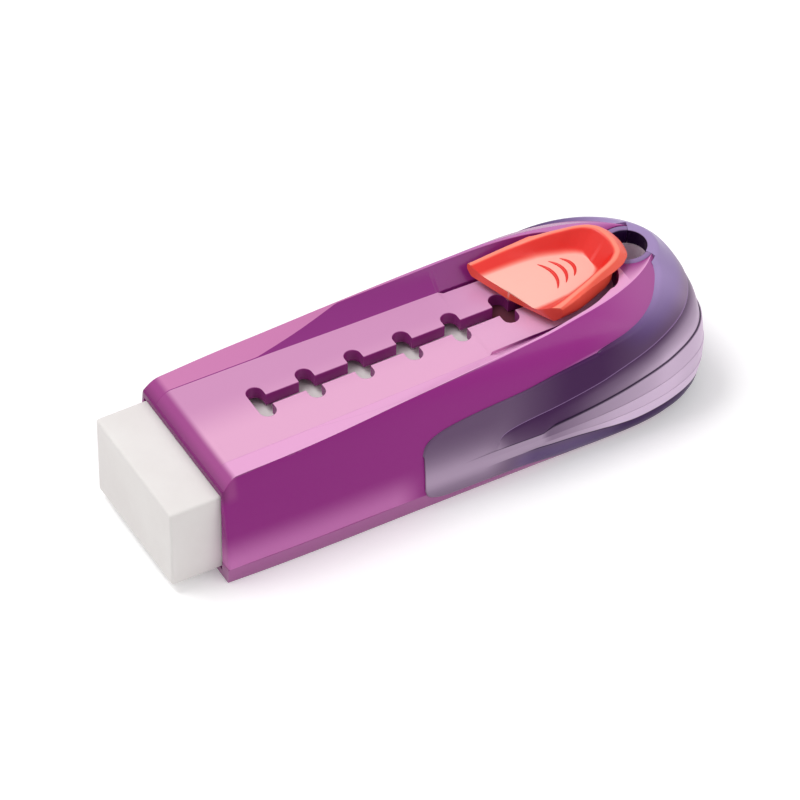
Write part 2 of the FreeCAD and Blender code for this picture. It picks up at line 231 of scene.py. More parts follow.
def make_piece(name, grids, body, stands_for, crease=40.0):
    """One mesh from grids of points in millimetres, each with its own faces and named point values. Points
    closer than WELD become one, and a face that this leaves with fewer than three corners is dropped."""
    points, faces, values, offset = [], [], {}, 0
    names = sorted({key for grid in grids for key in grid.get("paint", {})})
    for grid in grids:
        flat = grid["points"].reshape(-1, 3)
        points.append(flat)
        faces.append(grid["faces"] + offset)
        for key in names:
            value = grid.get("paint", {}).get(key, 0.0)
            values.setdefault(key, []).append(np.broadcast_to(value, grid["points"].shape[:-1]).reshape(-1))
        offset += len(flat)
    points = np.concatenate(points) * MM
    faces = np.concatenate(faces)
    keys = np.round(points / WELD).astype(np.int64)
    _, first, same = np.unique(keys, axis=0, return_index=True, return_inverse=True)
    same = same.reshape(-1)
    faces = same[faces]
    points = points[first]
    values = {key: np.concatenate(value)[first] for key, value in values.items()}
    loops = [list(dict.fromkeys(face)) for face in faces.tolist()]
    loops = [face for face in loops if len(face) > 2]
    unique = {tuple(sorted(face)): face for face in loops}
    mesh = bpy.data.meshes.new(name)
    mesh.from_pydata(points.tolist(), [], list(unique.values()))
    for key, value in values.items():
        layer = mesh.attributes.new(key, "FLOAT", "POINT")
        layer.data.foreach_set("value", value.astype(np.float32))
    mesh.validate()
    shell = bmesh.new()
    shell.from_mesh(mesh)
    bmesh.ops.recalc_face_normals(shell, faces=shell.faces)
    shell.to_mesh(mesh)
    shell.free()
    mesh.shade_smooth()
    mesh.set_sharp_from_angle(angle=math.radians(crease))
    piece = bpy.data.objects.new(name, mesh)
    bpy.context.scene.collection.objects.link(piece)
    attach(piece, body)
    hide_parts(*stands_for)
    return piece


# ---- the upper case ----------------------------------------------------------------------------
def flat_half(x):
    """Half width of the deck's flat, closed by a round end under the button."""
    side = curve(x, [(-29.95, 7.42), (-16.0, 7.24), (-6.0, 7.0), (5.0, 6.8), (14.0, 6.6), (19.0, 6.55),
                     (23.0, 6.1), (BOWL_X, FLAT_HALF)])
    return np.where(x < BOWL_X, side, FLAT_HALF * rounding(x, BOWL_X, FLAT_END))


def rim_half(x):
    """Half width where the bank beside the flat meets the shoulder."""
    side = curve(x, [(-32.45, 9.9), (-29.95, 9.95), (-24.0, 10.35), (-16.0, 10.3), (-6.0, 10.0), (5.0, 9.55),
                     (14.0, 9.1), (19.0, 8.45), (23.0, 7.55), (BOWL_X, BANK_HALF)])
    return np.where(x < BOWL_X, side, BANK_HALF * rounding(x, BOWL_X, BANK_END))


def rim_rise(x):
    """Height of the shoulder above the deck: nothing at the mouth, its full rise beside the button."""
    return curve(x, [(-29.95, 0.05), (-24.0, 0.35), (-16.0, 0.75), (-6.0, 1.45), (5.0, 2.1), (14.0, 2.65),
                     (19.0, 2.95), (23.0, SHOULDER_RISE), (34.0, SHOULDER_RISE)])


def deck_line(x):
    """Height of the flat: level, with a rounded fall at the front lip."""
    fall = np.clip((LIP_X - x) / (LIP_X - MOUTH_X), 0, 1)
    return DECK - LIP_DROP * fall**2


def slot_stations():
    """Stations along the case and the half width of what is open on the middle line there."""
    stations = [(MOUTH_X + 0.35, 0.0)]
    stations += [(x, 0.0) for x in np.linspace(MOUTH_X + 0.6, FIRST_X - NOTCH_R, 24)]
    for k in range(NOTCHES):
        middle = FIRST_X + k * PITCH
        turn = np.linspace(-1, 1, 15)
        across = np.sin(turn * math.pi / 2)
        half = NOTCH_REACH - NOTCH_R + NOTCH_R * np.sqrt(np.maximum(1 - across**2, 0))
        stations += list(zip(middle + NOTCH_R * across, half))
        if k < NOTCHES - 1:
            stations += [(x, SLOT_HALF) for x in np.linspace(middle + NOTCH_R, middle + PITCH - NOTCH_R, 9)]
    last = FIRST_X + (NOTCHES - 1) * PITCH + NOTCH_R
    stations += [(x, 0.0) for x in np.linspace(last, BOWL_X, 9)]
    stations += [(x, 0.0) for x in BOWL_X + 2.15 * np.sin(np.linspace(0.1, 1, 12) * math.pi / 2)]
    front = EYE_X - RING_R
    ends = [FLAT_END - 0.03, FLAT_END, BANK_END - 0.03, BANK_END]
    around = [front + np.linspace(0, 1, 16)**2 * 2.0, np.linspace(front + 2, TIP_X, 14), ends]
    for x in np.unique(np.concatenate(around)):
        stations.append((x, math.sqrt(max(RING_R**2 - (x - EYE_X)**2, 0.0))))
    stations += [(GRIP_X + 0.2, SLOT_HALF), (GRIP_X + 0.3, SLOT_HALF)]
    table = np.array(stations)
    table = table[np.argsort(table[:, 0], kind="stable")]
    return table[:, 0], table[:, 1]


def side_rows(x, top):
    """Heights down the side to the parting and how far each is set in: behind the grip's front end the part
    below its seam is its bed."""
    seam = curve(x, [(-4.5, 9.3), (-4.2, 10.3), (-3.6, 11.0), (-1.0, 12.0), (4.4, 12.9), (9.9, 13.5),
                     (15.3, 14.5), (20.9, 15.5), (27.2, 16.3), (30.7, 17.0), (33.2, 17.9), (34.2, 19.4)])
    split = np.minimum(seam - 0.45, top - 0.2)
    bed = np.where(x > GRIP_X + 0.25, GRIP_BED, 0.0)
    t = (1 - np.cos(np.linspace(0, math.pi, 9))) / 2
    rows = [(top + (split - top) * k, 0 * x) for k in t]
    rows += [(split - 0.03, bed)] + [(split + (PARTING - split) * k, bed) for k in t[1:]]
    return rows


def upper_case_grids():
    """Cross sections of the thin case, each a closed row of corners: slot wall, flat deck, groove, bank,
    shoulder, side and inner wall. Where two corners coincide, their rows weld into one."""
    x, opening = slot_stations()
    deck = deck_line(x)
    top = deck + rim_rise(x)
    flat = np.maximum(flat_half(x), opening)
    rim = np.maximum(rim_half(x), opening)
    deck = np.where((x >= FLAT_END - 0.01) | (flat <= opening + 1e-6), top, deck)
    inner = np.minimum(CHANNEL_HALF, case_half(x, PARTING) - CASE_WALL)
    roof = np.where(x < LIP_X, MOUTH_ROOF, DECK_UNDER - 0.28)
    groove = np.where((x > GROOVE_START) & (x < GROOVE_END), GROOVE_DEEP, 0.0)
    width = np.where(groove > 0, GROOVE_WIDE, 0.06)
    # share of the bank at which its painted pale part gives way to its deep, painted shade part, from the
    # flat to the shoulder
    wedge = curve(x, [(-17.8, 0.03), (-11.0, 0.5), (-5.0, 0.97)])

    def point(y, z):
        return np.stack([x, np.broadcast_to(y, x.shape), np.broadcast_to(z, x.shape)], 1)

    def bank(share):
        return point(flat + (rim - flat) * share, deck + (top - deck) * share)

    brink = np.maximum(flat - width, opening)
    corners = [point(opening, roof), point(opening, deck), point(np.minimum(opening + 0.3, brink), deck),
               point(brink, deck), point(brink, deck - groove), point(flat, deck - groove), point(flat, deck),
               bank(wedge - 0.01), bank(wedge + 0.01), point(rim, top)]
    radii = [0, 0.16 * (opening[:, None] > 0), 0, 0.05, 0.05, 0.05, 0.08, 0, 0, 0.12]
    # each corner's tone, by which case_material paints light and shade: the flat pale as lit, the strips
    # light, the banks pale or deep in painted shade
    tones = ["slot", "deck", "deck", "bank", "bank", "bank", "bank", "bank", "strip", "strip"]
    outer = len(corners)
    for k, (z, inset) in enumerate(side_rows(x, top)):
        corners.append(point(np.maximum(case_half(x, z) - inset, opening + 0.01), z))
        radii.append(0.3 if k == 0 else 0)
        tones.append("side")
    corners += [point(inner, PARTING), point(inner, roof)]
    radii += [0, 0]
    tones += ["slot", "slot"]
    rows, owner, part = soften(corners, radii)
    paint = {}
    for name in ("deck", "bank", "strip", "slot"):
        level = np.array([1.0 if tone == name else 0.0 for tone in tones])
        before = np.concatenate([level[-1:], level[:-1]])
        tone = before[owner] * (1 - part) + level[owner] * part
        paint[name] = tone[:, None] + 0 * x[None, :]
    closed = (owner[:, None] <= 1) & (opening[None, :] == 0)
    paint["slot"] = np.where(closed, 0.0, paint["slot"])
    paint["deck"] = np.where(closed, 1.0, paint["deck"])
    # painted highlight along the shoulder's rounded outer edge
    paint["edge"] = (np.sin(math.pi * part) * (owner == outer))[:, None]
    # painted shade line where the flat meets the bank
    paint["crease"] = (1.0 * (owner == 6))[:, None]
    # painted highlight on the side just above the grip's seam
    paint["seam"] = (1.0 * ((owner == outer + 7) | (owner == outer + 8)))[:, None]
    half = {"points": rows, "faces": grid_faces(rows.shape[0], rows.shape[1], True), "paint": paint}
    lead = rows[:, 0, :]
    outside = lead[(owner >= 1) & (owner <= len(corners) - 3)]
    return [half, mouth_rim(outside, np.array([lead[0], lead[-1], lead[-2]]))]


def mouth_rim(outside, inside, steps=60):
    """The rounded rim of the mouth: a quarter circle in front of the first section's outside, then a flat
    in to the section's inside, both carried along the section."""
    share = np.linspace(0, 1, steps)
    front_out = along(outside, share)
    front_in = along(inside, share)
    gap = front_in - front_out
    unit = gap / (np.linalg.norm(gap, axis=1, keepdims=True) + 1e-9)
    rows = []
    for turn in np.linspace(0, math.pi / 2, 6):
        moved = front_out + unit * MOUTH_ROUND * (1 - math.cos(turn))
        moved[:, 0] = inside[0, 0] - MOUTH_ROUND * math.sin(turn)
        rows.append(moved)
    last = front_in.copy()
    last[:, 0] = inside[0, 0] - MOUTH_ROUND
    rows += [last, front_in]
    return {"points": np.array(rows), "faces": grid_faces(len(rows), steps), "paint": {"slot": 0.0}}


def along(path, s):
    """Points at shares s of the length of a path."""
    length = np.concatenate([[0], np.cumsum(np.linalg.norm(np.diff(path, axis=0), axis=1))])
    return np.stack([np.interp(s * length[-1], length, path[:, k]) for k in range(3)], 1)


def mirrored(grids):
    """The grids and their mirror images across the middle plane, without the faces that lie on it."""
    out = []
    for grid in grids:
        flat = grid["points"].reshape(-1, 3)
        faces = grid["faces"]
        keep = ~np.all(np.abs(flat[faces][:, :, 1]) < 1e-5, axis=1)
        out.append(dict(grid, faces=faces[keep]))
        other = grid["points"] * np.array([1.0, -1.0, 1.0])
        out.append(dict(grid, points=other, faces=faces[keep][:, ::-1]))
    return out


def build_upper_case():
    return make_piece("case_shell", mirrored(upper_case_grids()), "case", ["upper_case"])


# ---- the rear grip ------------------------------------------------------------------------------
# heights of the grip's edges and folds along its outside, by the way around it in mm from its front end at
# z 9, where the rounded rear begins at 25.9 and the middle of the rear lies at 53.6
SEAM = [(0.0, 9.0), (0.2, 9.9), (0.5, 10.5), (1.2, 11.1), (3.6, 12.0), (9.1, 12.9), (14.6, 13.5),
        (20.3, 14.5), (28.1, 15.5), (36.6, 16.35), (40.2, 17.0), (43.0, 17.9), (44.5, 18.6), (45.3, 19.4),
        (53.6, 24.0)]
HEM = [(0.0, 3.2), (0.2, 2.5), (0.5, 2.0), (1.2, 1.6), (3.1, 1.15), (8.8, 1.25), (14.4, 1.3), (20.7, 0.6),
       (26.0, 0.4), (53.6, 0.4)]
LIP = [(0.0, 6.25), (10.2, 6.35), (10.45, 7.1), (10.8, 7.7), (11.4, 8.15), (12.3, 8.5), (13.5, 8.8),
       (15.8, 9.2), (18.1, 9.55), (21.2, 10.15), (24.7, 10.9), (28.8, 11.9), (33.2, 12.95), (37.9, 14.05),
       (40.6, 14.5), (44.5, 15.0), (53.6, 15.4)]
FOLD = [(0.0, 5.1), (6.0, 5.75), (10.3, 6.0), (16.6, 6.1), (17.4, 6.4), (18.2, 6.65), (21.2, 7.1),
        (24.6, 7.65), (28.1, 8.35), (31.7, 9.2), (35.6, 10.1), (37.8, 10.65), (41.0, 11.2), (45.0, 11.5),
        (53.6, 11.5)]
FOLD_2 = [(0.0, 4.7), (17.0, 5.3), (24.7, 5.7), (28.3, 6.0), (31.8, 6.5), (35.4, 7.2), (37.4, 7.7),
          (41.0, 8.3), (46.0, 8.5), (53.6, 8.4)]
FOLD_3 = [(0.0, 4.1), (20.0, 4.5), (26.8, 4.2), (30.6, 4.3), (34.0, 4.6), (38.0, 5.1), (42.0, 5.5),
          (53.6, 5.6)]
BAND = [(0.0, 3.0), (12.0, 3.9), (15.8, 3.95), (18.2, 3.8), (21.4, 3.65), (24.9, 3.3), (28.0, 2.95),
        (31.3, 2.75), (34.8, 3.0), (38.7, 3.4), (43.0, 3.6), (53.6, 3.6)]
# how pale each layer is painted along the same way, from 0, deep violet, to 1, pale lilac, from the hem up:
# below the band's line, between the folds, above the lip and along the top. This paleness is painted light
# and shade: pale where the flared layers catch the light, deep in the painted shadow under the lip.
PALE = {
    "under": [(0.0, 0.45), (14.0, 0.3), (20.0, 0.33), (27.0, 0.2), (31.0, 0.0), (53.6, 0.0)],
    "low": [(0.0, 0.7), (12.0, 0.7), (16.0, 0.66), (20.0, 0.7), (24.0, 0.84), (28.0, 1.0), (31.0, 1.05),
            (36.0, 1.08), (39.0, 1.0), (46.0, 1.0), (53.6, 1.0)],
    "between": [(0.0, 0.72), (16.6, 0.68), (18.0, 0.5), (21.0, 0.6), (24.7, 0.78), (28.0, 0.88),
                (31.0, 0.92), (36.0, 0.97), (39.0, 0.9), (46.0, 0.98), (53.6, 1.0)],
    "fin": [(0.0, 0.66), (16.4, 0.66), (17.6, 0.35), (20.0, 0.42), (24.7, 0.6), (28.0, 0.68),
            (31.8, 0.78), (35.5, 0.9), (38.0, 0.88), (46.0, 0.98), (53.6, 1.0)],
    "fold": [(0.0, 0.6), (10.0, 0.55), (12.0, 0.28), (15.0, 0.16), (19.5, 0.08), (21.2, 0.13),
             (24.0, 0.28), (28.0, 0.46), (30.0, 0.58), (32.0, 0.75), (34.0, 0.86), (36.0, 0.97),
             (39.0, 0.95), (42.0, 0.92), (48.0, 1.0), (53.6, 1.0)],
    "middle": [(0.0, 0.5), (10.4, 0.4), (11.5, 0.18), (13.5, 0.1), (18.0, 0.04), (21.0, 0.08),
               (24.7, 0.2), (28.5, 0.28), (33.0, 0.34), (36.0, 0.5), (40.0, 0.6), (46.0, 0.65),
               (53.6, 0.65)],
    "shadow": [(0.0, 0.5), (10.2, 0.45), (10.8, 0.0), (20.0, 0.0), (30.0, 0.05), (36.0, 0.05),
               (40.0, 0.2), (44.0, 0.3), (53.6, 0.35)],
    "upper": [(0.0, 0.42), (10.0, 0.32), (13.5, 0.2), (17.0, 0.1), (21.0, 0.02), (25.0, 0.02),
              (28.0, 0.07), (33.0, 0.15), (37.0, 0.2), (40.0, 0.28), (43.0, 0.5), (53.6, 0.55)],
    "crown": [(0.0, 0.23), (12.0, 0.22), (17.0, 0.12), (22.0, 0.02), (28.0, 0.03), (33.0, 0.12),
              (37.0, 0.25), (40.0, 0.42), (44.0, 0.6), (53.6, 0.6)],
}
# how pale the plain front end is painted, by height: painted light and shade
FRONT_PALE = [(1.0, 0.4), (2.6, 0.5), (3.6, 0.64), (4.4, 0.7), (5.4, 0.67), (6.4, 0.58), (7.4, 0.46),
              (8.3, 0.37), (9.2, 0.3), (10.0, 0.26), (11.0, 0.23), (13.0, 0.23)]


def grip_stations():
    """Stations u around the grip, close together where its edges bend, and the way to each of them."""
    t = np.linspace(0, 1, 100)
    u = np.concatenate([np.linspace(0, 0.12, 14)[:-1], np.linspace(0.12, 0.39, 18)[:-1],
                        np.linspace(0.39, 0.47, 22)[:-1], np.linspace(0.47, 1, 36)[:-1],
                        1 + t**2 * (1 - 0.5 * t) * 2])
    x, y = grip_path(u, np.full_like(u, 9.0))
    return u, np.concatenate([[0], np.cumsum(np.hypot(np.diff(x), np.diff(y)))])


def grip_layers(way, hem, high, lip, pale, rim):
    """Rows from the hem up to the height named high, each with its depth below the smooth outside, its
    painted paleness, a painted shade line and a painted highlight line. They step like shingles: at each fold
    the surface tucks in, and it comes out again at the lip. Plain rows between the marked ones are spaced
    evenly."""
    band, fold_3, fold_2, fold = (curve(way, table, True) for table in (BAND, FOLD_3, FOLD_2, FOLD))
    band = np.maximum(band, hem + 0.3)
    fold_3 = np.maximum(fold_3, band + 0.25)
    fold_2 = np.maximum(fold_2, fold_3 + 0.25)
    fold = np.maximum(fold, fold_2 + 0.25)
    lip = np.maximum(lip, fold + 0.3)
    lipped = step(way, 10.25, 11.0)
    deep = 0.5 * lipped * (1 - 0.7 * step(way, 40.0, 47.0))
    tuck = 0.28 * step(way, 16.8, 19.0)
    faint = 0.07 * step(way, 19.0, 26.0)
    # painted shade lines along the folds, and a painted highlight along the lip
    mark = 0.5 * step(way, 5.0, 9.0) + 0.4 * step(way, 10.0, 12.0)
    line = 0.3 * step(way, 19.0, 27.0)
    painted_lip_highlight = lipped * (1 - 0.35 * step(way, 42.0, 50.0))
    none = 0 * way
    # each mark: height, depth, painted paleness, painted shade line, painted highlight line
    marks = [(hem + 0.25, none, pale["under"], rim * 0.3, none),
             (band - 0.12, none, pale["under"], rim * 0.3, none),
             (band - 0.05, none, pale["under"], rim * 0.95, none),
             (band + 0.03, none, pale["low"], rim * 0.95, none),
             (band + 0.12, none, pale["low"], none, none),
             (fold_3 - 0.06, none, pale["low"], none, none),
             (fold_3, faint, pale["between"], line, none),
             (fold_3 + 0.06, faint, pale["between"], none, none),
             (fold_2 - 0.06, none, pale["between"], none, none),
             (fold_2, faint, pale["fin"], line, none),
             (fold_2 + 0.06, faint, pale["fin"], none, none),
             (fold - 0.08, none, pale["fin"], none, none),
             (fold - 0.02, tuck * 0.5, pale["fin"], mark, none),
             (fold + 0.05, tuck, pale["fold"], mark, none),
             (fold + 0.13, tuck, pale["fold"], none, none),
             (fold + (lip - fold) * 0.62, deep * 0.7, pale["middle"], none, none),
             (lip - 0.2, deep, pale["shadow"], none, none),
             (lip - 0.03, deep * 0.8, pale["shadow"], lipped * 0.4, none),
             (lip + 0.05, deep * 0.2, pale["upper"], none, painted_lip_highlight),
             (lip + 0.14, none, pale["upper"], none, painted_lip_highlight),
             (lip + 0.3, none, pale["upper"], none, none),
             (high, none, pale["crown"], none, none)]
    plain_rows = {0: 2, 4: 3, 7: 2, 10: 3, 14: 4, 15: 4, 20: 14}
    layers = []
    for k, here in enumerate(marks):
        layers.append(here)
        for t in np.linspace(0, 1, plain_rows.get(k, 0) + 2)[1:-1]:
            layers.append(tuple(a + (b - a) * t for a, b in zip(here, marks[k + 1])))
    return [(np.minimum(layer[0], high),) + layer[1:] for layer in layers], band, lip


def grip_top_edge(u, corner, on_top, tip_angle):
    """Where the top's surface leads: where the shoulder covers the grip, straight to the ring's tip, and
    behind that around the lanyard hole. The second array says how far a station has got to the hole."""
    t = np.clip((u - u[on_top][0]) / (2 - u[on_top][0]), 0, 1)
    angle = tip_angle * (1 - np.clip((t - 0.12) / 0.88, 0, 1))
    hole = np.stack([EYE_X + EYE_R * np.cos(angle), EYE_R * np.sin(angle)], 1)
    tip = np.array([TIP_X, RING_R * math.sin(tip_angle)])
    first = corner[on_top][0, :2] - np.array([0.0, 0.2])
    diagonal = first + (tip - first) * np.clip(t / 0.1, 0, 1)[:, None]
    blend = step(t, 0.1, 0.14)[:, None]
    target = diagonal * (1 - blend) + hole * blend
    return np.concatenate([target, np.full((len(u), 1), TOP)], 1), blend[:, 0]


def grip_collar(tip_angle):
    """The front part of the ring around the lanyard hole: a profile of radius and height, carried around."""
    turn = np.linspace(tip_angle, math.pi, 28)
    profile = [(EYE_R, TOP - 2.2), (EYE_R, TOP - 0.12), (EYE_R + 0.12, TOP), (RING_R - 0.16, TOP),
               (RING_R - 0.04, TOP - 0.12), (RING_R - 0.04, TOP - 2.2)]
    ring = np.array([np.stack([EYE_X + r * np.cos(turn), r * np.sin(turn), np.full_like(turn, z)], 1)
                     for r, z in profile])
    ring[:, :, 2] = np.minimum(ring[:, :, 2], np.where(ring[:, :, 0] < 29.0, DECK + 2.9, TOP))
    # the ring's top edge painted with a highlight, the hole's wall painted with shade
    return {"points": ring, "faces": grid_faces(len(profile), len(turn)),
            "paint": {"violet": 1.0, "shade": 0.3, "light": np.array([0, 0, 0.6, 0.2, 0, 0])[:, None],
                      "dark": np.array([1.0, 1.0, 0, 0, 0, 0])[:, None]}}


def grip_grids():
    """The grip's outside from hem to seam, stepped like shingles below its lip, with its turned-in edges.
    Behind the shoulders it also closes over the top as far as the lanyard hole."""
    u, way = grip_stations()
    crown = curve(way, SEAM, True)
    seam = np.minimum(crown, TOP)
    hem = curve(way, HEM, True)
    high = seam - 0.35
    pale = {name: curve(way, table, True) for name, table in PALE.items()}
    # weight of the painted shade along the hem and the band's line
    rim = step(way, 13.6, 16.0)
    # the plain front end takes its painted light and shade from FRONT_PALE
    flat_front = 1 - step(way, 8.0, 13.0)
    layers, band, lip = grip_layers(way, hem, high, curve(way, LIP, True), pale, rim)
    rows, paint = [], {"shade": [], "dark": [], "light": [], "violet": []}

    def outside(z, depth):
        x, y = grip_path(u, z)
        ahead = np.gradient(x), np.gradient(y)
        size = np.hypot(*ahead) + 1e-9
        return np.stack([x + ahead[1] / size * depth, y - ahead[0] / size * depth, z + 0 * u], 1)

    def add(points, tone, dark, light, violet):
        rows.append(points)
        front_tone = curve(points[:, 2], FRONT_PALE, True)
        tone = tone * (1 - flat_front) + front_tone * flat_front
        # a mix made in linear light reaches each display tone at a smaller share
        paint["shade"].append(np.clip(tone, 0, 1.1) * (0.42 + 0.58 * np.clip(tone, 0, 1.1)))
        paint["dark"].append(dark + 0 * u)
        paint["light"].append(light + 0 * u)
        paint["violet"].append(violet + 0 * u)

    for rise, depth in ((0.02, GRIP_THICK), (0, 0.3), (0.06, 0.1)):
        add(outside(hem + rise, depth), pale["under"], rim * 0.8, 0, 0)
    for z, depth, tone, dark, light in layers:
        above = step(z - lip, 0.1, 2.0) * step(way, 30.0, 38.0)
        below = (1 - step(z - band, -0.4, 0.1)) * step(way, 11.0, 16.0)
        add(outside(z, depth), tone, dark, light, np.maximum(above, below))
    # top edge: a narrow rounding on the sides, a wide one over the rear end
    on_top = crown >= TOP
    edge = np.where(on_top, TOP, seam)
    corner = outside(edge, 0.0)
    tip_angle = math.acos((TIP_X - EYE_X) / RING_R)
    over, at_hole = grip_top_edge(u, corner, on_top, tip_angle)
    inner = np.where(on_top[:, None], over, outside(edge, GRIP_THICK))
    run = np.linalg.norm(inner - corner, axis=1, keepdims=True) + 1e-9
    before = outside(high, 0.0)
    reach = np.where(on_top[:, None], np.minimum(1.6, 0.5 * run), 0.3)
    after = corner + (inner - corner) / run * reach
    rear = np.maximum(step(way, 30.0, 38.0), on_top)
    for q in np.linspace(0, 1, 8)[1:]:
        add((1 - q)**2 * before + 2 * q * (1 - q) * corner + q * q * after, pale["crown"], 0, 0, rear)
    for q in np.linspace(0, 1, 7)[1:]:
        # painted highlight along the rounded edge around the lanyard hole
        light = np.where(on_top, step(q, 0.8, 1.0) * 0.6, 0.0)
        add(after + (inner - after) * q, pale["crown"], 0, light, rear)
    # walls dropping into the lanyard hole, with painted shade down them
    for fall, tucked in ((0.15, 0.03), (2.2, 0.4)):
        drop = np.where(on_top, fall, tucked)[:, None]
        add(inner - np.array([0, 0, 1.0]) * drop, pale["crown"], np.where(on_top, at_hole, 0.0), 0, rear)
    points = np.array(rows)
    paint = {name: np.array(values) for name, values in paint.items()}
    shell = {"points": points, "faces": grid_faces(*points.shape[:2]), "paint": paint}
    front = points[:, 0, :].copy()
    back = front - np.array([0.0, GRIP_THICK, 0.0])
    # the front end face, painted deep as shade
    end = {"points": np.array([back, front]), "faces": grid_faces(2, len(front)), "paint": {"shade": 0.05}}
    return [shell, end, grip_collar(tip_angle)]


def build_rear_grip():
    grids = mirrored(grip_grids())
    return make_piece("grip_shell", grids, "case", ["rear_grip"], crease=50.0)


# ---- the thumb button -----------------------------------------------------------------------------
# where the rear outline starts, and that outline as a position along it, shares of its length and of its
# half width at TAIL_X
TAIL_X = 21.0
TAIL = [(0.0, 0.0, 1.0), (0.24, 0.233, 0.915), (0.46, 0.465, 0.81), (0.68, 0.70, 0.70), (0.84, 0.865, 0.56),
        (0.95, 0.97, 0.33), (1.0, 1.0, 0.0), (1.05, 0.97, -0.33)]


def button_front(y):
    """Where the slanted front edge and, past y -5.5, its clipped right corner lie for a given y."""
    corner_y = -5.5
    slanted = 12.4 + (6.85 - y) * 0.3158
    clipped = 16.3 + (corner_y - y) * 1.526
    return np.where(y > corner_y, slanted, clipped)


def tail_x(u, end):
    """Place along the tail that ends at x end, for u from 1 to 2."""
    return TAIL_X + (end - TAIL_X) * curve(np.clip(u - 1, 0, 1), [(k, a) for k, a, _ in TAIL])


def button_line(u, side, widths, tail_end):
    """One plan line of the button: u 0 to 1 along a side, 1 to 2 around the tail. Where a side starts
    depends on its own half width there, so the two are worked out in turn until they agree."""
    table = list(zip((10.0, 12.0, 18.0, TAIL_X), (widths[0],) + widths))
    x = np.full_like(u, 15.0)
    for _ in range(12):
        y = curve(x, table)
        front = button_front(side * y)
        x = front + (TAIL_X - front) * np.clip(u, 0, 1)
    half = widths[2] * curve(np.clip(u - 1, 0, 1), [(k, b) for k, _, b in TAIL])
    return np.where(u < 1, x, tail_x(u, tail_end)), side * np.where(u < 1, y, half)


def button_rise(x):
    """Height of the button's rim above the deck."""
    return curve(x, [(10.0, 2.9), (14.0, 3.05), (18.0, 3.5), (21.0, 4.2), (25.0, 4.9), (28.5, 5.2),
                     (32.0, 5.25)])


def button_grids():
    """Sections from the sole up the outer wall, over the rim and down into the thumb hollow. Each line has
    its half widths at three places along the side, its rear end and its height above the deck."""
    grids = []
    u = np.concatenate([np.linspace(0, 1, 30)[:-1], np.linspace(1, 2, 60)])
    middle_front = 14.563
    middle_x = np.where(u < 1, middle_front + (TAIL_X - middle_front) * u, 0)
    sole, floor_rise = 1.2, 2.4
    sole_end, floor_end, rim_end = 28.0, 26.6, 29.75
    rim_widths = (6.8, 6.7, 6.05)
    for side in (1, -1):
        rise = button_rise(button_line(u, side, rim_widths, rim_end)[0])
        specs = [((6.2, 6.3, 6.1), sole_end, sole + 0 * u), ((6.85, 7.0, 6.75), 28.5, 2.1 + 0 * u),
                 ((6.85, 6.9, 6.55), 28.6, np.minimum(3.95, rise - 0.3)),
                 ((6.85, 6.85, 6.4), 31.0, np.minimum(4.05, rise - 0.2)), (rim_widths, rim_end, rise),
                 ((6.15, 6.0, 5.35), 29.0, rise - 0.02), ((4.55, 4.5, 4.3), floor_end, floor_rise + 0 * u)]
        corners = []
        for widths, end, height in specs:
            x, y = button_line(u, side, widths, end)
            corners.append(np.stack([x, y, DECK + height], 1))
        low, floor = (np.stack([np.where(u < 1, middle_x, tail_x(u, end)), 0 * u, DECK + z + 0 * u], 1)
                      for end, z in ((sole_end, sole), (floor_end, floor_rise)))
        corners = [low] + corners + [floor]
        rows, owner, part = soften(corners, [0, 0.3, 0.8, 0.1, 0.25, 0.28, 0.3, 0.9, 0], 6)
        place = owner + part - 0.5
        # painted shade makes the hollow's inner walls red, a painted highlight runs along the rim, and the
        # floor is painted pale as a reflection
        red = np.interp(place, [5.75, 6.1, 6.7, 7.3], [0, 1, 1, 0])[:, None]
        edge = np.interp(place, [4.7, 5.1, 5.5, 5.9], [0, 1, 1, 0])[:, None]
        floor_tone = np.interp(place, [6.7, 7.35], [0, 1])[:, None]
        faces = grid_faces(*rows.shape[:2])
        paint = {"red": red, "edge": edge, "floor": floor_tone}
        grids.append({"points": rows, "faces": faces if side == 1 else faces[:, ::-1], "paint": paint})
        lead = rows[:, 0, :]
        split = np.searchsorted(owner, 6)
        s = np.linspace(0, 1, 30)
        face = np.array([along(lead[:split], s), along(lead[::-1][:len(lead) - split + 1], s)])
        cap = grid_faces(2, 30)
        grids.append({"points": face, "faces": cap if side == -1 else cap[:, ::-1], "paint": {"edge": 0.0}})
    return grids


def ridge_grids():
    """Three slender arcs across the floor of the hollow, thick in the middle and fine at their ends."""
    grids = []
    arcs = ((20.35, 21.35, 2.85, -2.4), (21.85, 22.85, 2.7, -1.95), (23.4, 24.3, 2.45, -1.35))
    for x0, x1, left, right in arcs:
        t = np.linspace(-1, 1, 41)
        y = (left + right) / 2 + (left - right) / 2 * t
        x = x0 + (x1 - x0) * (1 - t * t)
        size = 0.27 * np.sqrt(np.maximum(1 - t**2, 0)) + 0.01
        turn = np.linspace(0, math.pi, 9)
        rows = np.stack([x[None, :] + size[None, :] * np.cos(turn)[:, None] * 0.9,
                         np.broadcast_to(y, (9, 41)),
                         DECK + 2.39 + size[None, :] * np.sin(turn)[:, None] * 0.8], 2)
        # the ridges are painted red like the shaded walls: painted shade
        grids.append({"points": rows, "faces": grid_faces(9, 41), "paint": {"red": 1.0}})
    return grids


def build_button():
    grids = button_grids() + ridge_grids()
    return make_piece("button_shell", grids, "button", ["thumb_button"], crease=35.0)


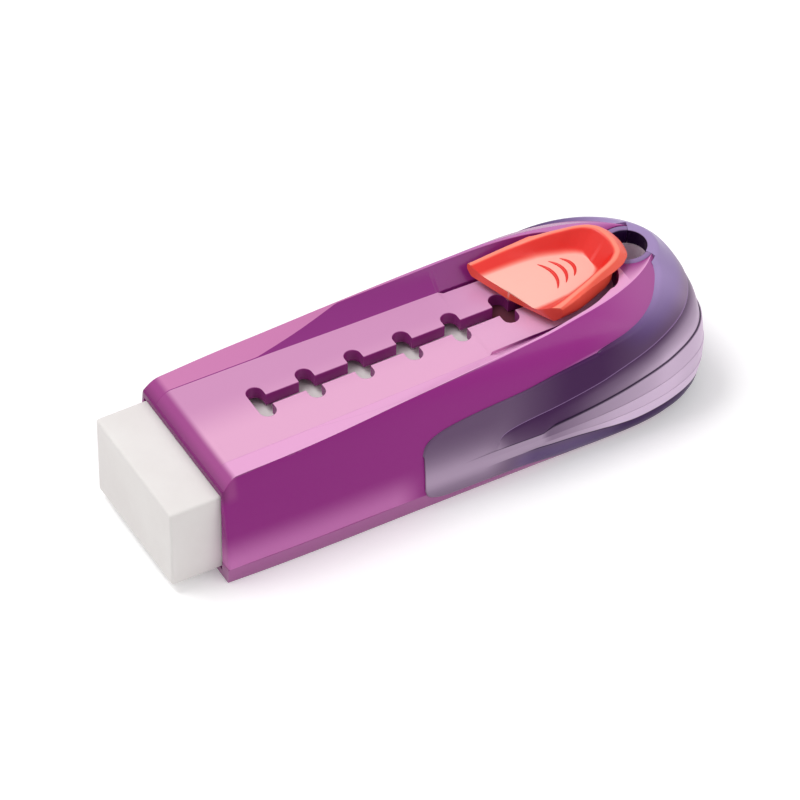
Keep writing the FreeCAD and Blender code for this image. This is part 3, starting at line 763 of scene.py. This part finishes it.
# ---- the eraser block -----------------------------------------------------------------------------
def build_eraser():
    """A long block whose edges are lightly worn round, closed by inset end faces."""
    half, low, high = block_high[1], block_low[2], block_high[2]
    length = block_high[0] - block_low[0]
    middle = (low + high) / 2
    tall = (high - low) / 2
    r = 0.4
    turn = np.linspace(0, math.pi / 2, 6)
    inset = np.concatenate([r * (1 - np.sin(turn)), np.zeros(30), r * (1 - np.cos(turn))])
    place = np.concatenate([r * (1 - np.cos(turn)), np.linspace(r, length - r, 32)[1:-1],
                            length - r + r * np.sin(turn)])
    corner = np.concatenate([turn + k * math.pi / 2 for k in range(4)])
    sign_y = np.repeat([1, -1, -1, 1], 6)
    sign_z = np.repeat([1, 1, -1, -1], 6)
    loops = []
    for x, cut in zip(block_low[0] + place, inset):
        rr = max(r - cut, 0.0) + 0.002
        y = sign_y * (half - cut - rr) + rr * np.cos(corner)
        z = middle + sign_z * (tall - cut - rr) + rr * np.sin(corner)
        loops.append(np.stack([np.full(24, x), y, z], 1))
    rows = np.array(loops)
    faces = grid_faces(len(rows), 24)
    wrap = np.arange(len(rows) - 1) * 24
    seam_faces = np.stack([wrap + 23, wrap, wrap + 24, wrap + 47], -1)
    grids = [{"points": rows, "faces": np.concatenate([faces, seam_faces])}]
    for index, flip in ((0, False), (-1, True)):
        ring = rows[index]
        end = np.array([ring[:12], ring[12:][::-1]])
        grids.append({"points": end, "faces": grid_faces(2, 12)[:, ::-1] if flip else grid_faces(2, 12)})
    return make_piece("eraser_vinyl_block", grids, "carrier", ["eraser_block"])


# ---- the return spring ----------------------------------------------------------------------------
def build_spring():
    """A round wire on a helix: the way around it and the rise both grow evenly with the turn. It is as tall
    as its node."""
    low, high = box_mm("return_spring")
    radius = (high[0] - low[0]) / 2 - SPRING_WIRE / 2
    turn = np.linspace(0, 2 * math.pi * SPRING_TURNS, 24 * SPRING_TURNS + 1)
    rise = (high[2] - low[2] - SPRING_WIRE) / turn[-1]
    outward = np.stack([np.cos(turn), np.sin(turn), 0 * turn], 1)
    ahead = np.stack([-radius * np.sin(turn), radius * np.cos(turn), rise + 0 * turn], 1)
    across = np.cross(outward, ahead / np.linalg.norm(ahead, axis=1, keepdims=True))
    axis = np.stack([STEM_X + 0 * turn, 0 * turn, low[2] + SPRING_WIRE / 2 + rise * turn], 1)
    line = outward * radius + axis
    around = np.linspace(0, 2 * math.pi, 13)[:, None, None]
    rows = line + (outward * np.cos(around) + across * np.sin(around)) * SPRING_WIRE / 2
    grids = [{"points": rows, "faces": grid_faces(13, len(turn))}]
    for end in (0, -1):
        disc = np.array([rows[:, end], np.repeat(line[end][None], 13, 0)])
        grids.append({"points": disc, "faces": grid_faces(2, 13)})
    spring = make_piece("return_coil", grids, "carrier", ["return_spring"])
    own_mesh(spring)
    return spring


# ---- shader helpers --------------------------------------------------------------------------------
def srgb(red, green, blue):
    """A display colour written 0 to 255 as linear light."""
    parts = np.array([red, green, blue]) / 255.0
    linear = np.where(parts <= 0.04045, parts / 12.92, ((parts + 0.055) / 1.055)**2.4)
    return tuple(linear) + (1.0,)


class Value:
    """One number in a shader, so that sums of sockets can be written as plain expressions."""

    def __init__(self, shader, socket):
        self.shader = shader
        self.socket = socket

    def _math(self, operation, *others):
        return self.shader.math(operation, self, *others)

    def __add__(self, other):
        return self._math("ADD", other)

    def __sub__(self, other):
        return self._math("SUBTRACT", other)

    def __rsub__(self, other):
        return self.shader.math("SUBTRACT", other, self)

    def __mul__(self, other):
        return self._math("MULTIPLY", other)

    def ramp(self, low, high):
        """0 below low, 1 above high, smooth between."""
        return self.shader.node("ShaderNodeMapRange", {"interpolation_type": "SMOOTHSTEP"},
                                {0: self, 1: low, 2: high, 3: 0.0, 4: 1.0})


class Shader:
    """A principled material, or the world's background, with its tree kept at hand."""

    def __init__(self, name, world=False, **fixed):
        self.material = (bpy.data.worlds if world else bpy.data.materials).new(name)
        self.material.use_nodes = True
        self.tree = self.material.node_tree
        self.surface = self.tree.nodes["Background" if world else "Principled BSDF"]
        for key, value in fixed.items():
            self.surface.inputs[key.replace("_", " ")].default_value = value

    def node(self, kind, settings, sockets, output=0):
        made = self.tree.nodes.new(kind)
        for key, value in settings.items():
            setattr(made, key, value)
        for key, value in sockets.items():
            if isinstance(value, Value):
                self.tree.links.new(value.socket, made.inputs[key])
            else:
                made.inputs[key].default_value = value
        return Value(self, made.outputs[output])

    def math(self, operation, *operands):
        return self.node("ShaderNodeMath", {"operation": operation}, dict(enumerate(operands)))

    def place(self):
        """The object's own coordinates in millimetres."""
        where = self.node("ShaderNodeTexCoord", {}, {}, "Object")
        parts = self.tree.nodes.new("ShaderNodeSeparateXYZ")
        self.tree.links.new(where.socket, parts.inputs[0])
        return [Value(self, parts.outputs[k]) * 1000.0 for k in range(3)]

    def noise(self, scale, detail=2.0):
        where = self.node("ShaderNodeTexCoord", {}, {}, "Object")
        return self.node("ShaderNodeTexNoise", {}, {"Vector": where, "Scale": scale, "Detail": detail})

    def seen(self):
        """1 where the surface is seen straight on, in a reflection or through something clear, 0 where it
        lights the object."""
        straight, glossy, clear = (self.node("ShaderNodeLightPath", {}, {}, name)
                                   for name in ("Is Camera Ray", "Is Glossy Ray", "Is Transmission Ray"))
        return self.math("MINIMUM", straight + glossy + clear, 1.0)

    def painted(self, name):
        return self.node("ShaderNodeAttribute", {"attribute_name": name}, {}, "Fac")

    def mix(self, share, first, second):
        return self.node("ShaderNodeMix", {"data_type": "RGBA"}, {0: share, 6: first, 7: second}, 2)

    def drive(self, name, value):
        self.tree.links.new(value.socket, self.surface.inputs[name])

    def grain(self, scale, strength):
        """A fine unevenness of the surface."""
        bump = self.node("ShaderNodeBump", {}, {"Height": self.noise(scale, 3.0), "Strength": strength,
                                                "Distance": 0.0002})
        self.drive("Normal", bump)


def case_material():
    """Magenta plastic, painted opaque, with light and shade painted into its colour: pale where the flat lies
    over the white block and on the top faces, deep with painted shade at the banks, with painted highlights
    along edges and seam and painted shade lines.
    """
    shader = Shader("Magenta plastic", Roughness=0.27, Coat_Weight=0.08, Coat_Roughness=0.12,
                    Specular_IOR_Level=0.2)
    x, y, z = shader.place()
    along_case = x.ramp(-32.0, 26.0)
    near = 1.0 - y.ramp(-3.5, 3.5)
    # painted light: the flat pale over the white block, paler on the near side and towards the rear
    deck = shader.mix(near, srgb(208, 144, 188), srgb(230, 170, 206))
    deck = shader.mix((x - 4.0).ramp(0.0, 12.0) * 0.4, deck, srgb(226, 172, 212))
    side = shader.mix(along_case, srgb(144, 20, 126), srgb(156, 36, 136))
    side = shader.mix(x.ramp(18.0, 32.0), side, srgb(178, 92, 160))
    # painted highlight on the rounded lower edge at the front
    low_front = (1.0 - z.ramp(2.6, 8.0)) * 0.95 * (1.0 - x.ramp(-9.0, -4.0))
    side = shader.mix(low_front, side, srgb(206, 118, 186))
    # painted highlight along the grip's seam
    side = shader.mix(shader.painted("seam") * x.ramp(13.0, 19.0), side, srgb(214, 130, 200))
    # painted light on the strips along the shoulders, paler on the near side, deeper behind on the far side
    strip = shader.mix(near, srgb(206, 126, 178), srgb(232, 166, 212))
    strip = shader.mix(x.ramp(-4.0, 12.0) * (1.0 - near), strip, srgb(198, 120, 184))
    colour = shader.mix(shader.painted("strip"), side, strip)
    colour = shader.mix(shader.painted("deck"), colour, deck)
    # banks: pale as the strips on the near side in front, deep with painted shade on the far side and behind
    behind = x.ramp(9.0, 15.0)
    dark_bank = 1.0 - near * (1.0 - behind)
    colour = shader.mix(shader.painted("bank"), colour, shader.mix(dark_bank, strip, srgb(138, 42, 124)))
    # painted shade line where the flat meets the bank on the near side
    colour = shader.mix(shader.painted("crease") * near * 0.45, colour, srgb(150, 80, 140))
    # painted shade line along the shoulder's outer edge in front, a painted highlight along it further back
    rim_line = shader.mix(x.ramp(2.0, 10.0), srgb(118, 26, 102), srgb(240, 160, 220))
    colour = shader.mix(shader.painted("edge") * near, colour, rim_line)
    colour = shader.mix(shader.painted("slot"), colour, srgb(150, 50, 130))
    # painted shade on the front lip
    lip = (1.0 - x.ramp(-30.9, -30.0)) * z.ramp(12.3, 14.0)
    lip_colour = shader.mix(x.ramp(-32.5, -31.2), srgb(118, 24, 100), srgb(156, 58, 134))
    colour = shader.mix(lip * 0.92, colour, lip_colour)
    shader.drive("Base Color", colour)
    shader.grain(900.0, 0.05)
    return shader.material


def grip_material():
    """Dark violet rubbery plastic with light and shade painted into it: pale where the flared layers face the
    light, painted shade lines in the folds and the hole, painted highlights along the lip and the hole's rim.
    """
    shader = Shader("Grip plastic", Roughness=0.36, Coat_Weight=0.05, Coat_Roughness=0.25,
                    Specular_IOR_Level=0.15)
    shade = shader.painted("shade")
    plain = shader.mix(shade, srgb(62, 8, 74), srgb(232, 206, 234))
    violet = shader.mix(shade, srgb(62, 10, 92), srgb(226, 200, 255))
    colour = shader.mix(shader.painted("violet"), plain, violet)
    # painted highlight, then painted shade lines
    colour = shader.mix(shader.painted("light"), colour, srgb(156, 122, 172))
    colour = shader.mix(shader.painted("dark"), colour, srgb(32, 2, 48))
    shader.drive("Base Color", colour)
    shader.grain(1200.0, 0.08)
    return shader.material


def button_material():
    """Coral plastic with light and shade painted in: painted shade makes the walls of the thumb hollow and
    the ridges redder, a painted highlight makes its rim pale and a painted reflection its floor.
    """
    shader = Shader("Button plastic", Roughness=0.4, Coat_Weight=0.12, Coat_Roughness=0.25, IOR=1.47)
    # painted highlight along the rim, painted reflection on the floor, painted shade in the hollow's walls
    colour = shader.mix(shader.painted("edge"), srgb(255, 92, 68), srgb(252, 140, 118))
    colour = shader.mix(shader.painted("floor"), colour, srgb(252, 188, 174))
    colour = shader.mix(shader.painted("red"), colour, srgb(232, 38, 28))
    shader.drive("Base Color", colour)
    shader.grain(1500.0, 0.05)
    return shader.material


def vinyl_material():
    """Matt white vinyl with a faint mottle."""
    shader = Shader("Eraser vinyl", Roughness=0.62, IOR=1.45)
    shade = shader.noise(160.0, 4.0).ramp(0.25, 0.75)
    colour = shader.mix(shade, srgb(231, 226, 224), srgb(236, 232, 230))
    shader.drive("Base Color", colour)
    shader.grain(700.0, 0.15)
    return shader.material


def plain_material(name, colour, roughness, **more):
    shader = Shader(name, Roughness=roughness, Base_Color=colour, **more)
    shader.grain(1000.0, 0.05)
    return shader.material


# ---- putting it together ------------------------------------------------------------------------------
def dress(piece, material):
    piece.data.materials.clear()
    piece.data.materials.append(material)


dress(build_upper_case(), case_material())
dress(build_rear_grip(), grip_material())
dress(build_button(), button_material())
dress(build_eraser(), vinyl_material())
# the base is painted paler than the case's sides: a painted highlight on its rounded lower edge
dress(bpy.data.objects["lower_case"],
      plain_material("Base plastic", srgb(168, 84, 150), 0.25, Coat_Weight=0.3))
dress(bpy.data.objects["eyelet_bush"], plain_material("Bush plastic", srgb(242, 222, 236), 0.4))
dress(bpy.data.objects["latch_stem"], plain_material("Stem plastic", srgb(226, 92, 78), 0.4))
# the carrier is a dark brown copy of the coral plastic: painted shade under the deck
dress(bpy.data.objects["eraser_carrier"], plain_material("Carrier plastic", srgb(96, 42, 58), 0.45))
dress(build_spring(), plain_material("Spring steel", srgb(190, 190, 195), 0.3, Metallic=1.0))


# ---- floor, light and camera --------------------------------------------------------------------------
def build_floor():
    mesh = bpy.data.meshes.new("floor")
    size = 3.0
    corners = [(-size, -size, 0), (size, -size, 0), (size, size, 0), (-size, size, 0)]
    mesh.from_pydata(corners, [], [(0, 1, 2, 3)])
    floor = bpy.data.objects.new("floor", mesh)
    floor.location.z = -0.00005
    bpy.context.scene.collection.objects.link(floor)
    shader = Shader("Floor", Roughness=0.9, Base_Color=srgb(250, 250, 250), Specular_IOR_Level=0.0,
                    Emission_Strength=1.0)
    shader.drive("Emission Color", shader.mix(shader.seen(), (0.0, 0.0, 0.0, 1.0), (0.2, 0.2, 0.2, 1.0)))
    dress(floor, shader.material)


def area_lamp(name, position, target, size, power):
    lamp = bpy.data.lights.new(name, "AREA")
    lamp.shape = "RECTANGLE"
    lamp.size, lamp.size_y = size
    lamp.energy = power
    lamp_object = bpy.data.objects.new(name, lamp)
    lamp_object.location = Vector(position)
    aim = Vector(target) - Vector(position)
    lamp_object.rotation_euler = aim.to_track_quat("-Z", "Y").to_euler()
    bpy.context.scene.collection.objects.link(lamp_object)


def build_world():
    world = Shader("Studio", world=True)
    world.drive("Color", world.mix(world.seen(), (0.5, 0.5, 0.5, 1.0), (1.0, 1.0, 1.0, 1.0)))
    bpy.context.scene.world = world.material


def build_camera():
    lens = bpy.data.cameras.new("Camera")
    lens.lens = 270.0
    lens.sensor_width = 36.0
    lens.clip_start = 0.01
    camera = bpy.data.objects.new("Camera", lens)
    right = (0.87134738, -0.49066284, 0.00192929)
    up = (0.3380246, 0.60312439, 0.72248207)
    back = (-0.3556587, -0.62888071, 0.69138697)
    turn = Matrix((right, up, back)).transposed().to_4x4()
    camera.matrix_world = Matrix.Translation((-0.272346, -0.479389, 0.534223)) @ turn
    bpy.context.scene.collection.objects.link(camera)
    bpy.context.scene.camera = camera


build_floor()
build_world()
area_lamp("Key", (-0.35, 0.3, 0.95), (0, 0, 0.01), (0.5, 0.5), 5.5)
area_lamp("Fill", (0.4, -0.7, 0.75), (0, 0, 0.01), (0.6, 0.6), 2.0)
build_camera()
bpy.context.scene.view_settings.view_transform = "Standard"
